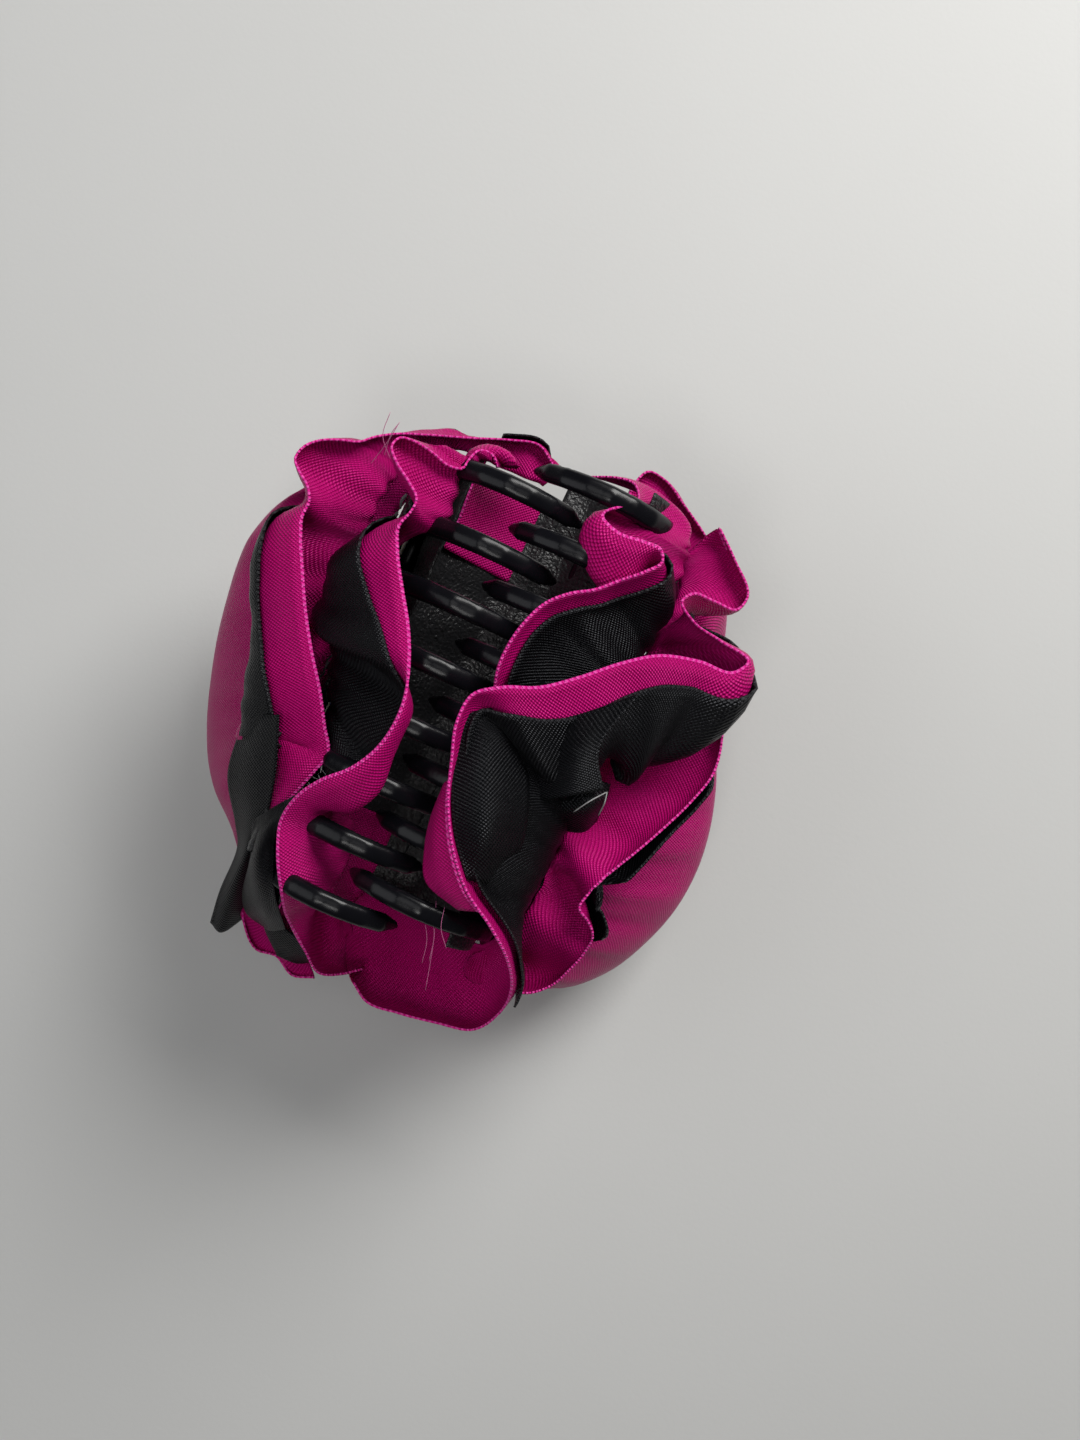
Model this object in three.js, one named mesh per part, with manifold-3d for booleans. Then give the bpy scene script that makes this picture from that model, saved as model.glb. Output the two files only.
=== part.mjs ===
// A sprung hair claw dressed with gathered satin ribbon, lying on its back with the mouth up.
// Millimetres, +Z up. +Y runs along the hinge pin and +X across the mouth.
// The origin is the middle of the footprint, on the surface that the claw lies on.
import * as THREE from "three";
import { mergeVertices } from "three/addons/utils/BufferGeometryUtils.js";
import Module from "manifold-3d";

const wasm = await Module();
wasm.setup();

// ---------------------------------------------------------------- driving dimensions
const HINGE = { x: 0, y: 6, z: 20 }; // pin axis: offset from the middle of the footprint, and height
const TEETH = 8; // in each half
const PITCH = 10.8; // tooth to tooth
const STAGGER = PITCH / 4; // each comb is shifted this much, so that the two combs interleave
const PLATE = 2.2; // wall of the moulded halves
const GUM = 43; // height of the plate's top edge, where the teeth begin
const PIN_R = 1;
const BORE_R = 1.3;
const LUG_R = 3.1;
const WIRE_R = 0.55;
const COIL_R = 2.4;
const COIL_TURNS = 7;
const COIL_PITCH = 1.45;
const LEG = 14;
const GAP = 0.3; // air left between pieces that touch
const GLUE = 0.6;
const BACKING = 1.2;
const RIBBON = 0.9; // a ribbon's plain solid is thicker than the cloth
const DRESS_HALF = 36; // the ribbons are sewn on for this far each way along the backing
const SWELL = 3; // a ribbon bellies outwards this much between its foot and its free edge
const THREAD_R = 0.3;

// ---------------------------------------------------------------- materials
const plastic = new THREE.MeshStandardMaterial({ color: 0x0b0b0d, roughness: 0.3, metalness: 0 });
const steel = new THREE.MeshStandardMaterial({ color: 0x9a9ca0, roughness: 0.3, metalness: 1 });
const webbing = new THREE.MeshStandardMaterial({ color: 0x101012, roughness: 0.85, metalness: 0 });
const hotGlue = new THREE.MeshStandardMaterial({ color: 0xd9d6c8, roughness: 0.4, metalness: 0 });
const magentaSatin = new THREE.MeshStandardMaterial({ color: 0xb3087a, roughness: 0.4, metalness: 0 });
const blackSatin = new THREE.MeshStandardMaterial({ color: 0x0a0a0c, roughness: 0.4, metalness: 0 });
const thread = new THREE.MeshStandardMaterial({ color: 0x2a2a2e, roughness: 0.8, metalness: 0 });

// ---------------------------------------------------------------- solids
function toSolid(geometry) {
  const bare = geometry.clone();
  bare.deleteAttribute("normal");
  bare.deleteAttribute("uv");
  const merged = mergeVertices(bare, 1e-4);
  return new wasm.Manifold(
    new wasm.Mesh({
      numProp: 3,
      vertProperties: new Float32Array(merged.attributes.position.array),
      triVerts: new Uint32Array(merged.index.array),
    }),
  );
}

function toGeometry(solid) {
  const mesh = solid.getMesh();
  const geometry = new THREE.BufferGeometry();
  geometry.setAttribute("position", new THREE.BufferAttribute(mesh.vertProperties, 3));
  geometry.setIndex(new THREE.BufferAttribute(mesh.triVerts, 1));
  geometry.computeVertexNormals();
  return geometry;
}

function named(name, geometry, material) {
  const mesh = new THREE.Mesh(geometry, material);
  mesh.name = name;
  return mesh;
}

// Closed skin over rings of points, each ring a closed section with the same number of points.
function loft(rings) {
  const sides = rings[0].length;
  const position = rings.flat().flatMap((p) => [p.x, p.y, p.z]);
  const index = [];
  for (let i = 0; i + 1 < rings.length; i++)
    for (let k = 0; k < sides; k++) {
      const [a, b] = [i * sides + k, i * sides + ((k + 1) % sides)];
      index.push(a, b, a + sides, b, b + sides, a + sides);
    }
  const last = (rings.length - 1) * sides;
  for (let k = 1; k + 1 < sides; k++) index.push(0, k + 1, k, last, last + k, last + k + 1);
  const geometry = new THREE.BufferGeometry();
  geometry.setAttribute("position", new THREE.Float32BufferAttribute(position, 3));
  geometry.setIndex(index);
  return toSolid(geometry).volume() < 0 ? loft([...rings].reverse()) : geometry;
}

// Outline in the XZ plane, given as [x, z] pairs, drawn out along Y from y0 to y1.
function slabAlongY(points, y0, y1) {
  const shape = new THREE.Shape(points.map(([x, z]) => new THREE.Vector2(x, z)));
  const geometry = new THREE.ExtrudeGeometry(shape, { depth: y1 - y0, bevelEnabled: false });
  return geometry.rotateX(Math.PI / 2).translate(0, y1, 0);
}

function cylinderAlongY(radius, y0, y1, sides = 28) {
  return new THREE.CylinderGeometry(radius, radius, y1 - y0, sides).translate(0, (y0 + y1) / 2, 0);
}

// ---------------------------------------------------------------- side profile of one moulded half
// Middle of the wall from just below the foot of the thumb tab, past the pin, round the jaw and
// over to the tooth tip, as [distance out from the pin, height above the pin].
const profile = new THREE.CatmullRomCurve3(
  [
    [17.8, -21.2],
    [12.2, -13.6],
    [8.2, -7.4],
    [5.5, -1],
    [6.6, 4.2],
    [11, 7.2],
    [16.4, 11],
    [19.8, 17],
    [20.6, 24],
    [19.2, 30.5],
    [15.6, 36],
    [9.6, 39.4],
    [3, 39],
    [-2.6, 35.6],
    [-5.6, 31.4],
  ].map(([x, z]) => new THREE.Vector3(x, 0, z)),
  false,
  "centripetal",
);

// Point at share f of the profile, moved outwards by d.
function off(f, d) {
  const p = profile.getPointAt(f);
  const t = profile.getTangentAt(f);
  return [p.x + t.z * d, p.z - t.x * d];
}

// Share of the profile at which its jaw side first reaches height z above the pin.
function shareAt(z) {
  let f = 0.3;
  while (profile.getPointAt(f).z < z) f += 0.0005;
  return f;
}

// Strip of the profile between two shares, from offset d0 to offset d1.
function strip(f0, f1, d0, d1, steps) {
  const share = (i) => f0 + ((f1 - f0) * i) / steps;
  const run = Array.from({ length: steps + 1 }, (_, i) => share(i));
  return [...run.map((f) => off(f, d1)), ...run.reverse().map((f) => off(f, d0))];
}

// ---------------------------------------------------------------- moulded half
const TAB_HALF = 13;
const HEEL = 3; // at the pin, each end of the plate is this much short of the comb's end
const HEEL_HEIGHT = 2; // height above the pin at which the plate is nearly as wide as the comb
const JAW_LOW = -(TEETH / 2) * PITCH + STAGGER + PITCH / 4; // ends of the comb along Y
const JAW_HIGH = (TEETH / 2) * PITCH + STAGGER - PITCH / 4;

// What the plate keeps, seen along X: a rounded thumb tab below a jaw that is wide down to the pin.
// Its level lower edge leaves the tab a flat foot on the surface.
function plateOutline() {
  const shape = new THREE.Shape();
  const corner = 4;
  shape.moveTo(-TAB_HALF + corner, -HINGE.z);
  shape.lineTo(TAB_HALF - corner, -HINGE.z);
  shape.quadraticCurveTo(TAB_HALF, -HINGE.z, TAB_HALF, -HINGE.z + corner);
  shape.bezierCurveTo(TAB_HALF, -4, JAW_HIGH - HEEL, -6, JAW_HIGH - HEEL, HEEL_HEIGHT);
  shape.lineTo(JAW_HIGH, GUM - HINGE.z);
  shape.lineTo(JAW_LOW, GUM - HINGE.z);
  shape.lineTo(JAW_LOW + HEEL, HEEL_HEIGHT);
  shape.bezierCurveTo(JAW_LOW + HEEL, -6, -TAB_HALF, -4, -TAB_HALF, -HINGE.z + corner);
  shape.quadraticCurveTo(-TAB_HALF, -HINGE.z, -TAB_HALF + corner, -HINGE.z);
  const solid = new THREE.ExtrudeGeometry(shape, { depth: 60, bevelEnabled: false, curveSegments: 6 });
  // shape x becomes Y and shape y becomes Z, drawn out along X from -20 to 40
  const turn = new THREE.Matrix4().set(0, 0, 1, -20, 1, 0, 0, 0, 0, 1, 0, 0, 0, 0, 0, 1);
  return solid.applyMatrix4(turn);
}

// A tooth follows the profile from inside the plate to its tip: rounded, wide at the root.
function tooth(y) {
  const root = shareAt(GUM - HINGE.z - 3);
  const rows = 10;
  const sides = 8;
  const rings = [];
  for (let i = 0; i <= rows; i++) {
    const along = i / rows;
    const f = root + (1 - root) * along;
    const flare = 2.6 * Math.exp(-along * 12);
    const tip = Math.sqrt(Math.max(0.1, 1 - Math.pow(Math.max(0, along - 0.9) / 0.11, 2)));
    const halfWidth = (2.15 - 0.35 * along + flare) * tip;
    const halfThick = (1.05 + 0.5 * Math.sin(Math.PI * Math.min(1, along * 1.1))) * tip;
    const ring = [];
    for (let k = 0; k < sides; k++) {
      const a = (2 * Math.PI * k) / sides;
      const soft = (v) => Math.sign(v) * Math.pow(Math.abs(v), 0.75);
      const [x, z] = off(f, halfThick * soft(Math.cos(a)));
      ring.push(new THREE.Vector3(x, y + halfWidth * soft(Math.sin(a)), z));
    }
    rings.push(ring);
  }
  return loft(rings);
}

// Lug that carries the pin: a ring round it and a web out to the plate.
function lug(y0, y1) {
  const web = slabAlongY([[0, -2.4], [5.6, -2.4], [5.6, 2.4], [0, 2.4]], y0, y1);
  return toSolid(cylinderAlongY(LUG_R, y0, y1)).add(toSolid(web));
}

function mouldedHalf() {
  const plateTop = shareAt(GUM - HINGE.z + 1);
  const wall = toSolid(slabAlongY(strip(0, plateTop, -PLATE / 2, PLATE / 2, 20), -50, 50));
  let half = wall.intersect(toSolid(plateOutline()));
  for (const [y0, y1] of [[14.5, 18], [-14, -10.5]]) half = half.add(lug(y0, y1));
  for (let i = 0; i < TEETH; i++) half = half.add(toSolid(tooth((i - (TEETH - 1) / 2) * PITCH + STAGGER)));
  return toGeometry(half.subtract(toSolid(cylinderAlongY(BORE_R, -30, 30, 20))));
}

// ---------------------------------------------------------------- pin and spring
function hingePin() {
  const [head, stem] = [1.9, 18.6];
  const points = [
    [0, -stem - 1.4],
    [head * 0.7, -stem - 1.2],
    [head, -stem - 0.7],
    [head, -stem],
    [PIN_R, -stem],
    [PIN_R, stem],
    [head * 0.85, stem],
    [head * 0.85, stem + 0.5],
    [head * 0.5, stem + 1],
    [0, stem + 1.1],
  ];
  return new THREE.LatheGeometry(points.map(([r, y]) => new THREE.Vector2(r, y)), 20);
}

// Coil round the pin, with a leg down the inside of each thumb tab.
class SpringWire extends THREE.Curve {
  getPoint(t, target = new THREE.Vector3()) {
    const legShare = LEG / (2 * LEG + 2 * Math.PI * COIL_R * COIL_TURNS);
    const halfLength = (COIL_TURNS * COIL_PITCH) / 2;
    const lean = THREE.MathUtils.degToRad(25);
    const start = Math.PI - lean;
    const sweep = -(2 * Math.PI * COIL_TURNS + Math.PI - 2 * lean);
    const s = THREE.MathUtils.clamp((t - legShare) / (1 - 2 * legShare), 0, 1);
    const a = start + sweep * s;
    target.set(COIL_R * Math.cos(a), halfLength * (2 * s - 1), COIL_R * Math.sin(a));
    const run = s > 0 ? Math.max(0, t - 1 + legShare) : t - legShare;
    target.x += (Math.sin(a) * LEG * run) / legShare;
    target.z -= (Math.cos(a) * LEG * run) / legShare;
    return target;
  }
}

function spring() {
  const section = new THREE.Shape();
  section.absarc(0, 0, WIRE_R, 0, 2 * Math.PI);
  return new THREE.ExtrudeGeometry(section, { extrudePath: new SpringWire(), steps: 110, curveSegments: 4 });
}

// ---------------------------------------------------------------- what dresses each half
const DRESS_LOW = shareAt(8);
const DRESS_HIGH = shareAt(34);
const GLUE_AT = PLATE / 2 + GAP;
const BACKING_AT = GLUE_AT + GLUE + GAP;
const DRESS_AT = BACKING_AT + BACKING + GAP;
const TOOTH_BULGE = 0.6; // a tooth stands this far proud of the plate

// Webbing band over the outside of the jaw, which the ribbons are sewn to.
function backing() {
  const at = BACKING_AT + TOOTH_BULGE;
  return slabAlongY(strip(DRESS_LOW, DRESS_HIGH, at, at + BACKING, 12), STAGGER - DRESS_HALF - 1, STAGGER + DRESS_HALF + 1);
}

function glueStrip() {
  const [low, high] = [shareAt(9), shareAt(18)];
  return slabAlongY(strip(low, high, GLUE_AT, GLUE_AT + GLUE, 5), -26, 26);
}

// One gathered ribbon as a plain curved band. Its base runs along the backing at height base above
// the pin. Its free edge runs from one end round the side to the other: reach and height are where
// the edge is half-way, ends where it finishes.
function ribbonBand({ base, reach, height, ends }) {
  const stations = 18;
  const across = 3;
  const [bx, bz] = off(shareAt(base), DRESS_AT + TOOTH_BULGE + RIBBON);
  const at = (t, w) => {
    const side = t < 0 ? ends[0] : ends[1];
    const c = Math.pow(Math.cos((t * Math.PI) / 2), 0.7);
    const s = Math.sin((t * Math.PI) / 2);
    const root = new THREE.Vector3(bx, DRESS_HALF * t, bz);
    const edge = new THREE.Vector3(
      side.x + (reach - side.x) * c,
      Math.abs(side.y) * s,
      side.z + (height - side.z) * c,
    );
    const p = root.lerp(edge, w);
    p.x += SWELL * 4 * w * (1 - w);
    return p;
  };
  const rings = [];
  for (let i = 0; i <= stations; i++) {
    const t = -1 + (2 * i) / stations;
    const step = 0.01;
    const [upper, lower] = [[], []];
    for (let k = 0; k <= across; k++) {
      const w = k / across;
      const along = at(Math.min(1, t + step), w).sub(at(Math.max(-1, t - step), w));
      const out = at(t, Math.min(1, w + step)).sub(at(t, Math.max(0, w - step)));
      const normal = along.cross(out).normalize().multiplyScalar(RIBBON / 2);
      upper.push(at(t, w).add(normal));
      lower.unshift(at(t, w).sub(normal));
    }
    rings.push([...upper, ...lower]);
  }
  return loft(rings).translate(0, STAGGER, 0);
}

// Gathering thread along the foot of a ribbon.
function gatherThread(base) {
  const [x, z] = off(shareAt(base), DRESS_AT + TOOTH_BULGE + THREAD_R);
  return cylinderAlongY(THREAD_R, -DRESS_HALF, DRESS_HALF, 8).translate(x, STAGGER, z);
}

// ---------------------------------------------------------------- ribbons, from the mouth outwards
// Each jaw's y runs its own way round: the left half is the right one turned half a turn.
const ribbons = {
  right: [
    {
      name: "inner_magenta",
      colour: magentaSatin,
      base: 31,
      reach: 6,
      height: 50,
      ends: [
        { x: 19, y: 52, z: 44 },
        { x: 19, y: 44, z: 45 },
      ],
    },
    {
      name: "inner_black",
      colour: blackSatin,
      base: 28,
      reach: 28,
      height: 44,
      ends: [
        { x: 23, y: 55, z: 35 },
        { x: 23, y: 47, z: 36 },
      ],
    },
    {
      name: "middle_magenta",
      colour: magentaSatin,
      base: 25,
      reach: 36,
      height: 38,
      ends: [
        { x: 24, y: 60, z: 24 },
        { x: 24, y: 48, z: 26 },
      ],
    },
    {
      name: "middle_black",
      colour: blackSatin,
      base: 22,
      reach: 44,
      height: 27,
      ends: [
        { x: 24, y: 60, z: 12 },
        { x: 24, y: 48, z: 16 },
      ],
    },
    {
      name: "outer_magenta",
      colour: magentaSatin,
      base: 18,
      reach: 53,
      height: -9,
      ends: [
        { x: 18, y: 65.7, z: 2 },
        { x: 18, y: 48, z: 6 },
      ],
    },
  ],
  left: [
    {
      name: "inner_magenta",
      colour: magentaSatin,
      base: 31,
      reach: 17,
      height: 49,
      ends: [
        { x: 18, y: 46, z: 44 },
        { x: 18, y: 50, z: 44 },
      ],
    },
    {
      name: "inner_black",
      colour: blackSatin,
      base: 28,
      reach: 27,
      height: 44,
      ends: [
        { x: 23, y: 49, z: 36 },
        { x: 23, y: 54, z: 34 },
      ],
    },
    {
      name: "middle_magenta",
      colour: magentaSatin,
      base: 25,
      reach: 37,
      height: 35,
      ends: [
        { x: 24, y: 53.7, z: 26 },
        { x: 24, y: 57, z: 22 },
      ],
    },
    {
      name: "middle_black",
      colour: blackSatin,
      base: 22,
      reach: 44,
      height: 22,
      ends: [
        { x: 24, y: 52, z: 16 },
        { x: 26, y: 60.3, z: 8 },
      ],
    },
    {
      name: "outer_magenta",
      colour: magentaSatin,
      base: 18,
      reach: 53,
      height: -9,
      ends: [
        { x: 18, y: 51, z: 6 },
        { x: 18, y: 60, z: 2 },
      ],
    },
  ],
};
const threadRows = { inner: 29.5, middle: 23.5, outer: 16.5 };

// ---------------------------------------------------------------- assembly
const claw = new THREE.Group();
const atPin = new THREE.Group();
atPin.position.set(HINGE.x, HINGE.y, HINGE.z);
claw.add(atPin);
atPin.add(named("hinge_pin", hingePin(), steel));
atPin.add(named("torsion_spring", spring(), steel));
const half = mouldedHalf();
for (const side of ["right", "left"]) {
  const jaw = new THREE.Group();
  jaw.rotation.z = side === "left" ? Math.PI : 0;
  atPin.add(jaw);
  jaw.add(named(`${side}_jaw`, half, plastic));
  jaw.add(named(`${side}_glue_strip`, glueStrip(), hotGlue));
  jaw.add(named(`${side}_backing`, backing(), webbing));
  for (const ribbon of ribbons[side])
    jaw.add(named(`${side}_${ribbon.name}_ribbon`, ribbonBand(ribbon), ribbon.colour));
  for (const [row, height] of Object.entries(threadRows))
    jaw.add(named(`${side}_${row}_gather_thread`, gatherThread(height), thread));
}

export default claw;
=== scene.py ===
"""A sprung hair claw lying on its back, mouth up, dressed with gathered magenta and black satin ribbon."""

import math

import bpy
import numpy as np
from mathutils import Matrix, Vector


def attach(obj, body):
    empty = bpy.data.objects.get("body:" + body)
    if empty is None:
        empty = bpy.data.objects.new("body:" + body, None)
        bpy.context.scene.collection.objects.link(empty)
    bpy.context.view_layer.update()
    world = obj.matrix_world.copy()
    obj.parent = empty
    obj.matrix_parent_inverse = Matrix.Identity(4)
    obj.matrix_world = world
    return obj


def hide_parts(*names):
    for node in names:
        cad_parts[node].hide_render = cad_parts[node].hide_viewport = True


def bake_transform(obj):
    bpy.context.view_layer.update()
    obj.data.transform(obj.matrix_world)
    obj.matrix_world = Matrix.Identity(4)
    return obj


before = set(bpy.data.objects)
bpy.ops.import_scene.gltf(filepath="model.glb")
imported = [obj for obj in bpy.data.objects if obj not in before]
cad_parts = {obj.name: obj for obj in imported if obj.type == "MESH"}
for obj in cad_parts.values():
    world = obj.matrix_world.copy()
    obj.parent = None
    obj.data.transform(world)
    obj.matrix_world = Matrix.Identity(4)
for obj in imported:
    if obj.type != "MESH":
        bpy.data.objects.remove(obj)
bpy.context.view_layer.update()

MM = 0.001
HINGE = np.array([0.0, 6.0, 20.0])  # mm, the middle of the pin
TOOTH_PITCH = 10.8  # mm
SIDES = ("left", "right")
SIGN = {"left": -1, "right": 1}

# Ribbon edges are laid out on a bench turned to lie square with the picture: millimetres to the
# right, up the picture and above the floor, measured from the point straight below the camera.
BENCH_TURN = math.radians(24.8)
BENCH_ORIGIN = (13.1, 7.9)
CAMERA_HEIGHT = 288.0
LENS = 34.4
SENSOR = 36  # mm, as is the lens

STEP = 0.9  # mm between columns of a ribbon's mesh
ROWS = 18
ACROSS = np.linspace(0, 1, ROWS + 1)  # from a ribbon's foot to its free edge
CLOTH = 0.26  # mm thick
BEAD = 0.4  # thickness of a ribbon's woven edge
BEAD_WIDTH = 0.45
TUBE_TIP = 0.45  # share of a tube's radius left at its ends
CROSSWISE = (0.31, 0.2, 0.93)  # a direction that no thread or wire runs along


def bench(points):
    """Bench positions in mm to model positions in mm."""
    p = np.asarray(points, float)
    c, s = math.cos(BENCH_TURN), math.sin(BENCH_TURN)
    x = BENCH_ORIGIN[0] + c * p[:, 0] - s * p[:, 1]
    y = BENCH_ORIGIN[1] + s * p[:, 0] + c * p[:, 1]
    return np.column_stack([x, y, p[:, 2]])


# ---------------------------------------------------------------- curves and meshes
def smooth_curve(points, knots, at):
    """Cubic through points at knots, sampled at positions at."""
    points, knots = np.asarray(points, float), np.asarray(knots, float)
    gaps = np.diff(knots)[:, None]
    slopes = np.diff(points, axis=0) / gaps
    tangents = np.empty_like(points)
    tangents[0], tangents[-1] = slopes[0], slopes[-1]
    tangents[1:-1] = (slopes[:-1] * gaps[1:] + slopes[1:] * gaps[:-1]) / (gaps[1:] + gaps[:-1])
    i = np.clip(np.searchsorted(knots, at, side="right") - 1, 0, len(knots) - 2)
    h = (knots[i + 1] - knots[i])[:, None]
    t = (at - knots[i])[:, None] / h
    return (
        points[i] * (2 * t**3 - 3 * t**2 + 1)
        + tangents[i] * h * (t**3 - 2 * t**2 + t)
        + points[i + 1] * (3 * t**2 - 2 * t**3)
        + tangents[i + 1] * h * (t**3 - t**2)
    )


def lengths_along(points):
    """Length of the path from its start to each point."""
    steps = np.linalg.norm(np.diff(points, axis=0), axis=1)
    return np.concatenate([[0], np.cumsum(steps)])


def unit(v):
    return v / np.maximum(np.linalg.norm(v, axis=-1, keepdims=True), 1e-9)


def blurred(values, reach):
    """Running mean along the first axis, with the ends held."""
    weights = np.hanning(2 * reach + 3)[1:-1]
    padded = np.concatenate([values[:1].repeat(reach, 0), values, values[-1:].repeat(reach, 0)])
    columns = [np.convolve(padded[:, k], weights / weights.sum(), "valid") for k in range(values.shape[1])]
    return np.column_stack(columns)


def new_object(name, vertices, faces, material, body):
    """Smooth-shaded mesh in metres, from vertices in mm, riding on a body where one is given."""
    mesh = bpy.data.meshes.new(name)
    mesh.from_pydata((np.asarray(vertices) * MM).tolist(), [], [list(f) for f in faces])
    mesh.validate()
    mesh.shade_smooth()
    obj = bpy.data.objects.new(name, mesh)
    bpy.context.scene.collection.objects.link(obj)
    mesh.materials.append(material)
    if body:
        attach(obj, body)
    return obj


def closed_sheet(grid, thickness):
    """Vertices and faces of a closed skin round grid[column, row], thickness[column, row] thick."""
    columns, rows = grid.shape[:2]
    along = np.gradient(grid, axis=0)
    across = np.gradient(grid, axis=1)
    normal = unit(np.cross(along, across))
    top = (grid + normal * thickness[..., None] / 2).reshape(-1, 3)
    bottom = (grid - normal * thickness[..., None] / 2).reshape(-1, 3)
    index = np.arange(columns * rows).reshape(columns, rows)
    a, b, c, d = index[:-1, :-1], index[1:, :-1], index[1:, 1:], index[:-1, 1:]
    upper = np.stack([a, b, c, d], -1).reshape(-1, 4)
    lower = np.stack([d, c, b, a], -1).reshape(-1, 4) + columns * rows
    rim = np.concatenate([index[:, 0], index[-1, 1:], index[-2::-1, -1], index[0, -2:0:-1]])
    ahead = np.roll(rim, -1)
    wall = np.stack([rim + columns * rows, ahead + columns * rows, ahead, rim], -1)
    return np.concatenate([top, bottom]), np.concatenate([upper, lower, wall])


def ring_walls(rings, sides):
    """Faces between neighbouring rings of vertices."""
    faces = []
    for i in range(rings - 1):
        for k in range(sides):
            j = (k + 1) % sides
            faces.append((i * sides + k, (i + 1) * sides + k, (i + 1) * sides + j, i * sides + j))
    return faces


def tube(points, radius, sides):
    """Closed round tube through points, with its ends drawn in."""
    points = np.asarray(points, float)
    along = unit(np.gradient(points, axis=0))
    side = unit(np.cross(along, CROSSWISE))
    up = np.cross(side, along)
    radii = np.broadcast_to(radius, len(points)).copy()
    radii[[0, -1]] *= TUBE_TIP
    angles = np.arange(sides) * 2 * math.pi / sides
    ring = side[:, None] * np.cos(angles)[None, :, None] + up[:, None] * np.sin(angles)[None, :, None]
    vertices = (points[:, None] + ring * radii[:, None, None]).reshape(-1, 3)
    faces = ring_walls(len(points), sides)
    faces.append(tuple(range(sides)))
    last = (len(points) - 1) * sides
    faces.append(tuple(last + k for k in reversed(range(sides))))
    return vertices, faces


def joined(parts):
    """Several (vertices, faces) as one."""
    vertices, faces, start = [], [], 0
    for own_vertices, own_faces in parts:
        vertices.append(own_vertices)
        faces += [tuple(start + i for i in face) for face in own_faces]
        start += len(own_vertices)
    return np.concatenate(vertices), faces


# ---------------------------------------------------------------- materials
class Nodes:
    """Shorthand for building one material's nodes."""

    def __init__(self, name):
        self.material = bpy.data.materials.new(name)
        self.material.use_nodes = True
        self.tree = self.material.node_tree
        self.shader = self.tree.nodes["Principled BSDF"]

    def link(self, source, target):
        self.tree.links.new(source, target)

    def colour(self, source):
        self.link(source, self.shader.inputs["Base Color"])

    def roughness(self, source):
        self.link(source, self.shader.inputs["Roughness"])

    def math(self, operation, a, b=0.0, c=0.0):
        node = self.tree.nodes.new("ShaderNodeMath")
        node.operation = operation
        for socket, value in zip(node.inputs, (a, b, c)):
            if isinstance(value, (int, float)):
                socket.default_value = value
            else:
                self.link(value, socket)
        return node.outputs[0]

    def noise(self, scale, detail=3.0):
        node = self.tree.nodes.new("ShaderNodeTexNoise")
        node.inputs["Scale"].default_value = scale
        node.inputs["Detail"].default_value = detail
        place = self.tree.nodes.new("ShaderNodeTexCoord").outputs["Object"]
        self.link(place, node.inputs["Vector"])
        return node.outputs["Fac"]

    def mix(self, factor, a, b):
        node = self.tree.nodes.new("ShaderNodeMix")
        node.data_type = "RGBA"
        sockets = [s for s in node.inputs if s.type == "RGBA"]
        for socket, value in zip(sockets, (a, b)):
            if isinstance(value, tuple):
                socket.default_value = (*value, 1)
            else:
                self.link(value, socket)
        self.link(factor, node.inputs[0])
        return next(s for s in node.outputs if s.type == "RGBA")

    def bump(self, height, distance, strength):
        node = self.tree.nodes.new("ShaderNodeBump")
        node.inputs["Distance"].default_value = distance
        node.inputs["Strength"].default_value = strength
        self.link(height, node.inputs["Height"])
        self.link(node.outputs["Normal"], self.shader.inputs["Normal"])

    def set(self, **values):
        for name, value in values.items():
            self.shader.inputs[name.replace("_", " ")].default_value = value


RIB_PITCH = 0.62  # mm between the crossed ribs of the satin
RIB_SLANT = 0.8
TRIM_STITCH = 1.05  # mm between the stitches of a ribbon's edge
PATCH_SCALE = 90  # of the broad uneven shading
FIBRE_SCALE = 2600  # of the finest grain
SATIN_RELIEF = 0.00011  # m


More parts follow.
